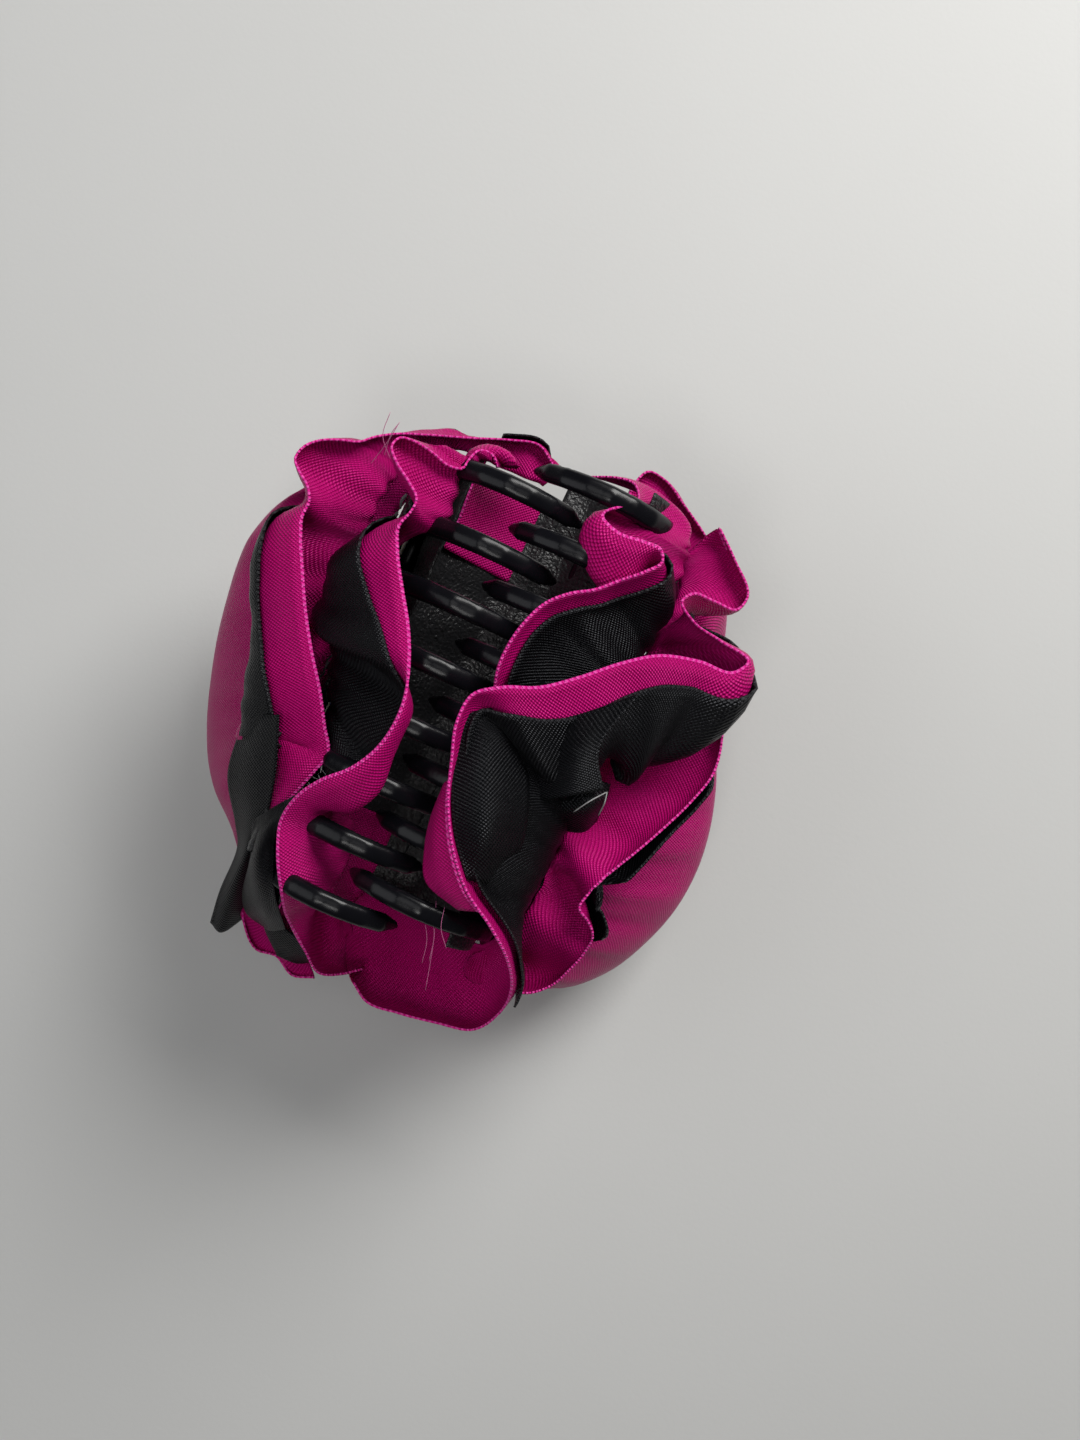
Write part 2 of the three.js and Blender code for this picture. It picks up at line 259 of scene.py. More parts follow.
def satin(name, deep, bright, edge, sheen, tint, roughness, gloss):
    """Woven satin: fine crossed ribs, a ribbed selvedge with a row of stitches, soft uneven sheen, and
    painted glints where the ribs cross.
    """
    nodes = Nodes(name)
    place = nodes.tree.nodes.new("ShaderNodeAttribute")
    place.attribute_name = "ribbon"
    split = nodes.tree.nodes.new("ShaderNodeSeparateXYZ")
    nodes.link(place.outputs["Vector"], split.inputs[0])
    along, inward = split.outputs[0], split.outputs[1]

    def ribs(value, pitch):
        return nodes.math("SINE", nodes.math("MULTIPLY", value, 2 * math.pi / pitch))

    diagonal = ribs(nodes.math("MULTIPLY_ADD", inward, RIB_SLANT, along), RIB_PITCH)
    counter = ribs(nodes.math("MULTIPLY_ADD", inward, -RIB_SLANT, along), RIB_PITCH)
    lattice = nodes.math("MULTIPLY", nodes.math("ADD", diagonal, counter), 0.5)
    # Rib crossings, where the cloth's colour is lifted towards bright: painted glints.
    points = nodes.math("POWER", nodes.math("MAXIMUM", lattice, 0.0), 1.5)
    on_selvedge = nodes.math("LESS_THAN", inward, BEAD_WIDTH)
    stitch = nodes.math("MULTIPLY_ADD", ribs(along, TRIM_STITCH), 0.5, 0.5)
    patches = nodes.math("MULTIPLY_ADD", nodes.noise(PATCH_SCALE), 1.4, -0.2)
    fibre = nodes.noise(FIBRE_SCALE, 2.0)
    # Random patchy tone, plus the painted glints at the rib crossings.
    patchy_tone_and_glints = nodes.math("MULTIPLY_ADD", patches, 0.2, nodes.math("MULTIPLY", points, 0.75))
    cloth_colour = nodes.mix(nodes.math("MULTIPLY_ADD", fibre, 0.3, patchy_tone_and_glints), deep, bright)
    trim_colour = nodes.mix(stitch, bright, edge)
    nodes.colour(nodes.mix(on_selvedge, cloth_colour, trim_colour))
    uneven = nodes.math("MULTIPLY_ADD", patches, 0.16, roughness - 0.08)
    nodes.roughness(nodes.math("MULTIPLY_ADD", fibre, 0.1, uneven))
    relief = nodes.math("MULTIPLY_ADD", fibre, 0.7, lattice)
    stitches = nodes.math("MULTIPLY", on_selvedge, stitch)
    nodes.bump(nodes.math("MULTIPLY_ADD", stitches, 1.5, relief), SATIN_RELIEF, 0.9)
    nodes.set(Sheen_Weight=sheen, Sheen_Roughness=0.35, Sheen_Tint=(*tint, 1))
    nodes.set(Specular_IOR_Level=gloss, Specular_Tint=(*tint, 1))
    return nodes.material


def moulded_plastic():
    nodes = Nodes("moulded_plastic")
    nodes.colour(nodes.mix(nodes.noise(260, 4.0), (0.002, 0.002, 0.003), (0.005, 0.005, 0.007)))
    nodes.roughness(nodes.math("MULTIPLY_ADD", nodes.noise(120), 0.12, 0.2))
    nodes.bump(nodes.noise(700, 2.0), 0.00002, 0.4)
    nodes.set(Specular_IOR_Level=0.25)
    return nodes.material


def drawn_steel():
    nodes = Nodes("drawn_steel")
    nodes.colour(nodes.mix(nodes.noise(900), (0.42, 0.42, 0.43), (0.62, 0.62, 0.64)))
    nodes.roughness(nodes.math("MULTIPLY_ADD", nodes.noise(1500, 4.0), 0.25, 0.2))
    nodes.bump(nodes.noise(3000, 2.0), 0.00001, 0.6)
    nodes.set(Metallic=1.0)
    return nodes.material


def woven_backing():
    nodes = Nodes("woven_backing")
    nodes.colour(nodes.mix(nodes.noise(1800, 4.0), (0.002, 0.002, 0.0025), (0.02, 0.02, 0.022)))
    nodes.bump(nodes.noise(1500, 2.0), 0.0004, 1.0)
    nodes.set(Roughness=0.36, Sheen_Weight=0.03, Specular_IOR_Level=0.4)
    return nodes.material


def set_glue():
    nodes = Nodes("set_glue")
    nodes.colour(nodes.mix(nodes.noise(300), (0.62, 0.58, 0.46), (0.8, 0.77, 0.68)))
    nodes.roughness(nodes.math("MULTIPLY_ADD", nodes.noise(500), 0.3, 0.2))
    nodes.bump(nodes.noise(700, 2.0), 0.0001, 0.6)
    nodes.set(Subsurface_Weight=0.2, Subsurface_Radius=(0.002, 0.002, 0.001))
    return nodes.material


def spun_thread(name, dark, light):
    nodes = Nodes(name)
    nodes.colour(nodes.mix(nodes.noise(5000, 2.0), dark, light))
    nodes.bump(nodes.noise(7000, 2.0), 0.00004, 0.8)
    nodes.set(Roughness=0.6, Sheen_Weight=0.3)
    return nodes.material


def matte_floor():
    nodes = Nodes("matte_floor")
    nodes.colour(nodes.mix(nodes.noise(6, 5.0), (0.54, 0.54, 0.53), (0.59, 0.59, 0.58)))
    nodes.bump(nodes.noise(900, 4.0), 0.0001, 0.3)
    nodes.set(Roughness=0.9, Specular_IOR_Level=0.2)
    return nodes.material


# Each satin's bright colour is also the colour of its painted glints at the rib crossings.
MAGENTA = satin(
    "magenta_satin",
    deep=(0.27, 0.0002, 0.065),
    bright=(0.62, 0.006, 0.22),
    edge=(0.8, 0.09, 0.42),
    sheen=0.02,
    tint=(1.0, 0.12, 0.5),
    roughness=0.32,
    gloss=0.6,
)
BLACK = satin(
    "black_satin",
    deep=(0.0008, 0.0008, 0.0012),
    bright=(0.005, 0.005, 0.006),
    edge=(0.02, 0.02, 0.022),
    sheen=0.0,
    tint=(0.9, 0.92, 1.0),
    roughness=0.28,
    gloss=0.18,
)
PLASTIC = moulded_plastic()
STEEL = drawn_steel()
WEBBING = woven_backing()
GLUE = set_glue()
DARK_THREAD = spun_thread("dark_thread", (0.01, 0.01, 0.012), (0.06, 0.06, 0.07))
GREY_THREAD = spun_thread("grey_thread", (0.12, 0.12, 0.12), (0.4, 0.4, 0.4))
PINK_THREAD = spun_thread("pink_thread", (0.3, 0.02, 0.12), (0.75, 0.2, 0.45))


# ---------------------------------------------------------------- gathered ribbons
# How a ribbon's section leaves its foot and how it reaches its free edge: mm outwards and mm up.
SECTIONS = {
    "belly": ((17, 1), (15, -4)),
    "slack": ((11, 1), (15, -6)),
    "upright": ((3, 4), (2, -6)),
    "curl": ((-1, 9), (-9, -9)),
    "hook": ((-1, 9), (-19, -6)),
    "lean": ((0, 8), (-22, -7)),
    "drop": ((-1, 8), (-8, -3)),
    "over": ((1, 9), (3, -8.5)),
    "slope": ((2, 9), (9, -4.5)),
    "bowl": ((0, 10), (1.5, -9)),
    "wing": ((24, -3), (17, -4)),
    "turn": ((4, 3), (2, -5)),
    "petal": ((8, -6), (2, -7)),
    "trough": ((6, -4), (1, -6)),
    "ridge": ((5, 5), (1, 1)),
    "skirt": ((8, 4), (-1, 7)),
    "brim": ((5, 2), (1, -4)),
}
GATHER_PITCH = 5.6  # mm between the small pleats at a ribbon's foot
GATHER_FADE = 1.4  # how fast they die away towards its edge
FLUTE_PITCH = 15.0  # mm between the broad waves in its middle
FLUTE_DEPTH = 0.4
FOOT_GAP = 0.45  # mm between the two ribbons of a pair, at the foot
LONGEST_CUT = 0.7  # of the width of a ribbon, where its partner stops short of it
# Columns over which a ribbon's foot, section handles, directions and normals are evened out.
FOOT_BLUR = 4
HANDLE_BLUR = 5
DIRECTION_BLUR = 3
NORMAL_BLUR = 2


class Ribbon:
    """One gathered ribbon between its foot on the backing and its free edge.

    Each station is the free edge's place on the bench (right, up, height), the share of the foot
    reached there, and the shape of the section."""

    def __init__(self, side, foot, stations, phase, pleat):
        self.side = side
        self.outer = -SIGN[side]
        edge_knots = bench([station[:3] for station in stations])
        shares = np.array([station[3] for station in stations], float)
        shapes = np.array([np.ravel(SECTIONS[station[4]]) for station in stations], float)
        knots = lengths_along(edge_knots)
        at = np.linspace(0, knots[-1], int(knots[-1] / STEP) + 2)
        edge = smooth_curve(edge_knots, knots, at)
        share = np.maximum.accumulate(np.clip(np.interp(at, knots, shares), 0, 1))
        foot = np.asarray(foot, float)
        foot_at = lengths_along(foot)
        root = blurred(smooth_curve(foot, foot_at / foot_at[-1], share), FOOT_BLUR)
        handles = np.column_stack([np.interp(at, knots, shapes[:, k]) for k in range(4)])
        smooth = self.sections(root, edge, blurred(handles, HANDLE_BLUR))
        self.run = lengths_along(edge)
        self.grid = smooth + self.normals(smooth) * self.waves(phase, pleat)[..., None]

    def sections(self, root, edge, handles):
        """Cubic sections from root to edge, bent by the handles."""
        tangent = unit(blurred(np.gradient(edge, axis=0), DIRECTION_BLUR))
        outwards = self.outer * np.column_stack([tangent[:, 1], -tangent[:, 0], np.zeros(len(edge))])
        outwards = unit(blurred(unit(outwards), DIRECTION_BLUR))
        up = np.array([0, 0, 1.0])
        near_foot = root + outwards * handles[:, :1] + up * handles[:, 1:2]
        near_edge = edge + outwards * handles[:, 2:3] + up * handles[:, 3:4]
        rails = (root, near_foot, near_edge, edge)
        far, near = ACROSS, 1 - ACROSS
        weights = [near**3, 3 * far * near**2, 3 * far**2 * near, far**3]
        return sum(rail[:, None] * weight[None, :, None] for rail, weight in zip(rails, weights))

    def waves(self, phase, pleat):
        """Small gathers at the foot, pleat mm deep, and broad flutes across the middle.

        The drift keeps either from repeating evenly along the ribbon."""
        drift = np.sin(self.run / 31.0 + phase) + 0.6 * np.sin(self.run / 12.7 + 2 * phase)
        gathers = np.sin(self.run * 2 * math.pi / GATHER_PITCH + 1.8 * drift + phase)
        flutes = np.sin(self.run * 2 * math.pi / FLUTE_PITCH + 1.3 * drift + 3 * phase)
        fade = (1 - ACROSS) ** GATHER_FADE
        swell = 4 * ACROSS * (1 - ACROSS)
        return pleat * gathers[:, None] * fade + FLUTE_DEPTH * flutes[:, None] * swell

    def normals(self, grid):
        """Unit normals towards the outer side."""
        normal = np.cross(np.gradient(grid, axis=0), np.gradient(grid, axis=1))
        flat = unit(self.outer * normal).reshape(len(grid), -1)
        return unit(blurred(flat, NORMAL_BLUR).reshape(grid.shape))

    def build(self, name, material):
        """The ribbon itself, on the side towards the teeth."""
        return cloth(name, self.grid, self.run, material, self.side)

    def partner(self, name, plan, material):
        """The ribbon gathered in with it on its outer side.

        The plan lists shares of the length with, at each, how far its free edge stops short of this
        one's and how far it stands off there, in mm. It runs from the first share to the last."""
        plan = np.array(plan, float)
        last = len(self.run) - 1
        keep = np.arange(int(plan[0, 0] * last), int(plan[-1, 0] * last) + 1)
        short = np.interp(keep / last, plan[:, 0], plan[:, 1])
        lift = np.interp(keep / last, plan[:, 0], plan[:, 2])
        normal = self.normals(self.grid)
        grid, out = np.empty((2, len(keep), ROWS + 1, 3))
        for new, old in enumerate(keep):
            width = lengths_along(self.grid[old])
            cut = min(short[new], LONGEST_CUT * width[-1])
            at = np.linspace(0, width[-1] - cut, ROWS + 1)
            for axis in range(3):
                grid[new, :, axis] = np.interp(at, width, self.grid[old, :, axis])
                out[new, :, axis] = np.interp(at, width, normal[old, :, axis])
        rise = FOOT_GAP + (lift[:, None] - FOOT_GAP) * ACROSS[None, :] ** 2
        wander = 1 + 0.2 * np.sin(self.run[keep] / 7.0 + 1.0)
        grid = grid + out * (rise * wander[:, None])[..., None]
        return cloth(name, grid, self.run[keep], material, self.side)


def cloth(name, grid, run, material, side):
    """Thin closed skin over grid[column, row], whose last row is a woven edge."""
    spans = np.linalg.norm(np.diff(grid, axis=1), axis=2)
    widths = np.concatenate([np.zeros((len(grid), 1)), np.cumsum(spans, axis=1)], axis=1)
    inward = widths[:, -1:] - widths
    thickness = np.where(inward < BEAD_WIDTH, BEAD, CLOTH)
    vertices, faces = closed_sheet(grid, thickness)
    obj = new_object(name, vertices, faces, material, f"{side}_half")
    place = obj.data.attributes.new("ribbon", "FLOAT_VECTOR", "POINT")
    skin = np.stack([np.broadcast_to(run[:, None], inward.shape), inward, np.zeros_like(inward)], -1)
    place.data.foreach_set("vector", np.concatenate([skin, skin]).astype("f").ravel())
    return obj


def patch(name, net, material, side):
    """Cloth over a small net of rails, each a list of places. The last rail is a woven edge."""
    net = np.array([bench(rail) for rail in net])
    rails, length = net.shape[:2]
    knots = np.linspace(0, 1, length)
    span = lengths_along(net[-1])[-1]
    at = np.linspace(0, 1, int(span / STEP) + 3)
    fine = np.array([smooth_curve(rail, knots, at) for rail in net])
    rail_knots = np.linspace(0, 1, rails)
    grid = np.array([smooth_curve(fine[:, i], rail_knots, ACROSS) for i in range(len(at))])
    cloth(name, grid, at * span, material, side)


LEFT_INNER_FOOT = [
    (-8, 45.0, 52),
    (-13, 44.6, 54),
    (-15.5, 42, 54.5),
    (-15.8, 31, 54.5),
    (-20, 26.5, 54),
    (-24.4, 21, 50.5),
    (-24.4, 4, 50.5),
    (-21, -4, 50.5),
    (-18.5, -11, 50.5),
    (-16, -16, 49),
    (-12, -20, 46),
    (-9, -24, 41),
    (-8.5, -33, 39),
    (-7, -38.5, 36),
    (-4, -39.8, 33),
]
LEFT_INNER = [
    (-7.3, 42.9, 54, 0.00, "upright"),
    (-8.1, 44.9, 55, 0.02, "upright"),
    (-10.1, 45.5, 56, 0.04, "upright"),
    (-11.8, 43.9, 57, 0.05, "upright"),
    (-13.0, 42.0, 58, 0.06, "upright"),
    (-15.3, 42.3, 59, 0.08, "upright"),
    (-17.9, 44.3, 60, 0.09, "upright"),
    (-20.6, 45.9, 61, 0.10, "upright"),
    (-23.0, 46.4, 62, 0.12, "upright"),
    (-24.2, 45.0, 63, 0.13, "upright"),
    (-23.3, 42.0, 64, 0.15, "upright"),
    (-21.2, 38.6, 65, 0.17, "upright"),
    (-19.9, 35.5, 66, 0.19, "upright"),
    (-21.0, 33.4, 66, 0.21, "upright"),
    (-22.6, 31.5, 66, 0.24, "turn"),
    (-22.8, 27.5, 66, 0.29, "slack"),
    (-22.0, 21.0, 66, 0.34, "slack"),
    (-21.0, 15.3, 67, 0.39, "slack"),
    (-20.7, 10.5, 68, 0.43, "slack"),
    (-21.0, 6.5, 69, 0.46, "bowl"),
    (-22.2, 1.9, 69, 0.49, "curl"),
    (-25.2, -3.3, 68, 0.53, "curl"),
    (-30.3, -7.4, 66, 0.58, "hook"),
    (-36.0, -9.7, 64, 0.63, "hook"),
    (-40.1, -12.4, 62, 0.68, "drop"),
    (-43.2, -16.7, 60, 0.72, "drop"),
    (-43.7, -22.5, 60, 0.76, "drop"),
    (-43.4, -28.5, 58.5, 0.81, "drop"),
    (-43.3, -35.5, 50, 0.86, "drop"),
    (-41.4, -40.5, 46, 0.90, "upright"),
    (-39.4, -45.3, 42, 0.95, "petal"),
    (-35.5, -46.0, 38, 0.98, "petal"),
    (-32.6, -45.6, 36, 1.00, "petal"),
]
LEFT_INNER_BLACK = [
    (0.27, 7.5, 1.0),
    (0.36, 5.5, 0.9),
    (0.44, 3.0, 0.8),
    (0.5, 1.0, 0.6),
    (0.6, 1.0, 0.6),
    (0.64, 2.5, 0.5),
]

LEFT_MIDDLE_FOOT = [
    (-4, 46.5, 40),
    (-12, 46, 41),
    (-20, 45.8, 42),
    (-25.6, 41, 43.5),
    (-25.8, 5, 44),
    (-25.8, -14, 43),
    (-26.2, -30, 39),
]
LEFT_MIDDLE = [
    (2.3, 45.6, 42, 0.00, "brim"),
    (0.0, 48.8, 43, 0.01, "brim"),
    (-5.3, 49.6, 44, 0.06, "brim"),
    (-12.3, 49.6, 46, 0.13, "brim"),
    (-20.0, 49.7, 48, 0.20, "brim"),
    (-25.2, 49.7, 49, 0.24, "brim"),
    (-28.5, 49.0, 50, 0.27, "upright"),
    (-31.2, 47.7, 52, 0.29, "upright"),
    (-34.0, 47.6, 54, 0.31, "upright"),
    (-37.6, 47.3, 55, 0.33, "upright"),
    (-40.1, 45.9, 56, 0.35, "upright"),
    (-41.3, 44.2, 56, 0.37, "turn"),
    (-40.5, 42.0, 57, 0.39, "turn"),
    (-38.8, 39.0, 58, 0.41, "turn"),
    (-38.5, 36.5, 58, 0.43, "turn"),
    (-39.6, 34.1, 58, 0.45, "slack"),
    (-39.8, 30.9, 58, 0.48, "belly"),
    (-39.5, 25.1, 58, 0.53, "belly"),
    (-39.0, 18.4, 58, 0.60, "belly"),
    (-38.0, 11.7, 58, 0.66, "belly"),
    (-36.6, 5.0, 58, 0.73, "belly"),
    (-36.0, -0.8, 57, 0.79, "belly"),
    (-35.6, -5.9, 56, 0.84, "belly"),
    (-38.0, -8.9, 56, 0.86, "belly"),
    (-42.0, -13.1, 54, 0.90, "slack"),
    (-46.4, -17.7, 51, 0.95, "turn"),
    (-48.7, -22.6, 47, 1.00, "turn"),
]
LEFT_MIDDLE_BLACK = [
    (0.02, 3.0, 0.5),
    (0.04, 0.8, 0.8),
    (0.08, 0.8, 0.8),
    (0.11, 5.0, 0.5),
    (0.28, 5.0, 0.5),
    (0.36, 5.0, 0.6),
    (0.45, 6.0, 1.2),
    (0.6, 9.0, 1.0),
    (0.88, 9.0, 1.0),
]

LEFT_OUTER_FOOT = [(-21, 44, 38), (-24.8, 38, 36), (-24.8, 5, 35.5), (-24.6, -30, 35), (-18, -39.5, 33)]
LEFT_OUTER = [
    (-36.0, 46.0, 38, 0.00, "skirt"),
    (-44.7, 41.8, 34, 0.10, "skirt"),
    (-48.5, 40.4, 31, 0.16, "skirt"),
    (-52.2, 37.8, 28, 0.22, "skirt"),
    (-55.6, 34.0, 26, 0.28, "skirt"),
    (-58.0, 29.6, 24, 0.34, "skirt"),
    (-60.2, 24.0, 22, 0.40, "skirt"),
    (-62.6, 16.4, 20, 0.47, "skirt"),
    (-64.2, 7.8, 19, 0.54, "skirt"),
    (-65.2, -1.6, 18, 0.61, "skirt"),
    (-64.8, -8.8, 18, 0.67, "skirt"),
    (-63.0, -14.6, 19, 0.72, "skirt"),
    (-60.2, -19.6, 21, 0.76, "skirt"),
    (-57.6, -25.0, 24, 0.80, "turn"),
    (-56.4, -32.0, 26, 0.84, "turn"),
    (-56.4, -38.6, 26, 0.88, "turn"),
    (-54.0, -44.0, 25, 0.91, "turn"),
    (-50.6, -45.0, 25, 0.94, "turn"),
    (-47.2, -48.6, 26, 0.97, "turn"),
    (-42.8, -48.8, 27, 1.00, "turn"),
]

RIGHT_INNER_FOOT = [
    (22, 44.5, 44),
    (24.8, 41, 46),
    (25.0, 26, 48),
    (24.6, 10, 50),
    (24.6, -14, 50),
    (23.8, -25, 46),
    (20, -33.4, 40),
    (12, -34, 36),
    (-3, -34.5, 34),
]
RIGHT_INNER = [
    (32.8, 29.7, 48, 0.00, "upright"),
    (31.0, 33.2, 50, 0.02, "upright"),
    (33.7, 27.7, 50, 0.04, "upright"),
    (35.8, 21.1, 50, 0.07, "upright"),
    (34.1, 19.1, 51, 0.08, "turn"),
    (29.9, 20.3, 53, 0.10, "turn"),
    (25.8, 21.5, 55, 0.12, "turn"),
    (23.9, 20.2, 56, 0.14, "upright"),
    (25.7, 16.6, 57, 0.16, "upright"),
    (30.4, 13.3, 56, 0.18, "upright"),
    (35.1, 9.8, 55, 0.20, "turn"),
    (32.9, 8.3, 56, 0.23, "wing"),
    (26.8, 10.0, 58, 0.27, "wing"),
    (19.9, 10.9, 60, 0.31, "wing"),
    (13.2, 9.5, 62, 0.36, "slope"),
    (6.5, 7.2, 64, 0.40, "slope"),
    (0.0, 5.5, 66, 0.43, "slope"),
    (-6.4, 5.4, 68, 0.45, "slope"),
    (-10.8, 4.1, 69, 0.47, "bowl"),
    (-13.2, 0.0, 69, 0.49, "bowl"),
    (-14.2, -6.4, 68, 0.51, "bowl"),
    (-14.8, -13.7, 67, 0.54, "bowl"),
    (-14.1, -21.0, 66, 0.57, "bowl"),
    (-12.1, -27.7, 64, 0.61, "bowl"),
    (-8.2, -34.0, 62, 0.65, "bowl"),
    (-5.4, -40.5, 58, 0.69, "over"),
    (-4.9, -45.1, 54, 0.73, "turn"),
    (-7.0, -51.0, 48, 0.78, "petal"),
    (-12.5, -55.2, 43, 0.83, "petal"),
    (-18.5, -54.4, 41, 0.88, "petal"),
    (-25.3, -52.9, 40, 0.94, "petal"),
    (-31.7, -50.7, 39, 0.99, "petal"),
    (-33.7, -47.6, 39, 1.00, "petal"),
]
RIGHT_INNER_BLACK = [
    (0.1, 9.0, 0.6),
    (0.14, 4.5, 1.0),
    (0.3, 4.5, 1.0),
    (0.42, 6.5, 1.0),
    (0.52, 3.0, 1.2),
    (0.7, 3.0, 1.2),
    (0.82, 2.0, 1.6),
]

RIGHT_UPPER_FOOT = [(19, 50.5, 44), (23.6, 46, 49.5), (24.3, 30, 50), (24.3, 12, 51), (24, 2, 51)]
RIGHT_UPPER = [
    (8.7, 42.4, 48, 0.00, "upright"),
    (13.0, 41.9, 50, 0.05, "upright"),
    (16.1, 40.5, 52, 0.10, "upright"),
    (16.7, 38.3, 54, 0.14, "turn"),
    (14.0, 35.6, 60, 0.18, "over"),
    (11.0, 34.5, 61, 0.21, "over"),
    (10.5, 33.1, 63, 0.24, "lean"),
    (13.0, 30.7, 63.5, 0.28, "lean"),
    (17.1, 29.2, 64, 0.32, "lean"),
    (19.8, 27.8, 64, 0.36, "turn"),
    (20.0, 26.0, 64, 0.40, "turn"),
    (17.1, 24.2, 64.5, 0.46, "over"),
    (13.0, 22.8, 64, 0.52, "over"),
    (8.9, 21.2, 65, 0.58, "over"),
    (4.8, 20.5, 66, 0.64, "over"),
    (0.8, 18.9, 66, 0.70, "over"),
    (-2.4, 16.0, 66, 0.77, "over"),
    (-5.2, 12.2, 65, 0.84, "over"),
    (-6.9, 8.5, 64, 0.91, "over"),
    (-7.5, 5.0, 62.5, 0.96, "over"),
    (-7.5, 2.0, 61.5, 1.00, "over"),
]
RIGHT_UPPER_BLACK = [(0.38, 2.5, 0.6), (0.42, 1.5, 1.2), (0.5, 3.3, 1.2), (0.7, 3.0, 1.2), (1.0, 3.0, 0.9)]

RIGHT_LOWER_FOOT = [(25.6, 24, 43), (25.7, 5, 43.5), (25.6, -12, 43), (25.2, -26, 41), (19, -38, 37)]
RIGHT_LOWER = [
    (30.0, 5.0, 44, 0.00, "trough"),
    (32.2, 1.4, 45, 0.05, "trough"),
    (32.0, -3.5, 46, 0.12, "trough"),
    (30.5, -9.1, 47, 0.20, "trough"),
    (26.5, -14.1, 48, 0.27, "trough"),
    (21.7, -18.6, 49, 0.35, "trough"),
    (16.4, -23.0, 50, 0.44, "trough"),
    (11.2, -27.2, 50, 0.53, "ridge"),
    (8.0, -30.4, 50, 0.58, "ridge"),
    (6.7, -32.5, 50, 0.62, "trough"),
    (8.3, -35.0, 49, 0.66, "trough"),
    (9.2, -37.5, 48, 0.70, "trough"),
    (7.9, -40.8, 46, 0.76, "ridge"),
    (5.0, -44.5, 44, 0.87, "trough"),
    (1.8, -47.6, 42, 0.92, "trough"),
    (-3.2, -49.0, 41, 0.97, "trough"),
    (-6.3, -47.8, 40, 1.00, "trough"),
]
RIGHT_LOWER_BLACK = [(0.12, 6.0, 0.6), (0.24, 0.5, 1.6), (0.5, 0.4, 2.8), (0.7, 0.5, 2.4), (0.84, 6.0, 0.8)]

RIGHT_OUTER_FOOT = [(21, 50.4, 38), (24.8, 43, 36), (24.8, 10, 35.5), (24.6, -20, 35), (20, -36.5, 34)]
RIGHT_OUTER = [
    (15.5, 38.0, 42, 0.00, "upright"),
    (17.0, 42.4, 41, 0.03, "upright"),
    (19.6, 44.8, 40, 0.07, "turn"),
    (22.6, 43.4, 39, 0.11, "turn"),
    (25.9, 39.4, 38, 0.15, "turn"),
    (29.7, 34.3, 37, 0.20, "turn"),
    (32.8, 29.5, 35, 0.25, "skirt"),
    (34.6, 22.3, 32, 0.32, "skirt"),
    (34.4, 13.2, 29, 0.40, "skirt"),
    (33.6, 3.8, 27, 0.48, "skirt"),
    (33.6, -4.8, 25, 0.55, "skirt"),
    (33.8, -13.5, 22, 0.62, "skirt"),
    (32.9, -21.4, 20, 0.68, "skirt"),
    (30.8, -29.1, 18, 0.74, "skirt"),
    (26.6, -37.1, 17, 0.80, "skirt"),
    (20.8, -43.9, 16, 0.86, "skirt"),
    (13.8, -49.4, 16, 0.91, "skirt"),
    (6.9, -52.1, 17, 0.95, "skirt"),
    (1.9, -52.0, 20, 0.98, "turn"),
    (-3.0, -50.0, 24, 1.00, "turn"),
]

# Side, row, the CAD row it stands for, foot, free edge, phase and depth of the gathers, and the plan
# of the black ribbon gathered in with it.
RUFFLES = [
    ("left", "inner", "inner", LEFT_INNER_FOOT, LEFT_INNER, 0.3, 0.4, LEFT_INNER_BLACK),
    ("left", "middle", "middle", LEFT_MIDDLE_FOOT, LEFT_MIDDLE, 1.1, 0.4, LEFT_MIDDLE_BLACK),
    ("left", "outer", "outer", LEFT_OUTER_FOOT, LEFT_OUTER, 2.0, 0.4, None),
    ("right", "inner", "inner", RIGHT_INNER_FOOT, RIGHT_INNER, 0.0, 0.12, RIGHT_INNER_BLACK),
    ("right", "upper", "middle", RIGHT_UPPER_FOOT, RIGHT_UPPER, 0.9, 0.4, RIGHT_UPPER_BLACK),
    ("right", "lower", "middle", RIGHT_LOWER_FOOT, RIGHT_LOWER, 1.7, 0.3, RIGHT_LOWER_BLACK),
    ("right", "outer", "outer", RIGHT_OUTER_FOOT, RIGHT_OUTER, 2.6, 0.4, None),
]


def ruffle(side, row, cad_row, foot, edge, phase, pleat, black_plan):
    """A magenta ribbon and, where there is one, the black ribbon gathered in with it."""
    ribbon = Ribbon(side, foot, edge, phase, pleat)
    obj = ribbon.build(f"{side}_{row}_magenta_ruffle", MAGENTA)
    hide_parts(f"{side}_{cad_row}_magenta_ribbon")
    if black_plan:
        obj = ribbon.partner(f"{side}_{row}_black_ruffle", black_plan, BLACK)
        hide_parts(f"{side}_{cad_row}_black_ribbon")


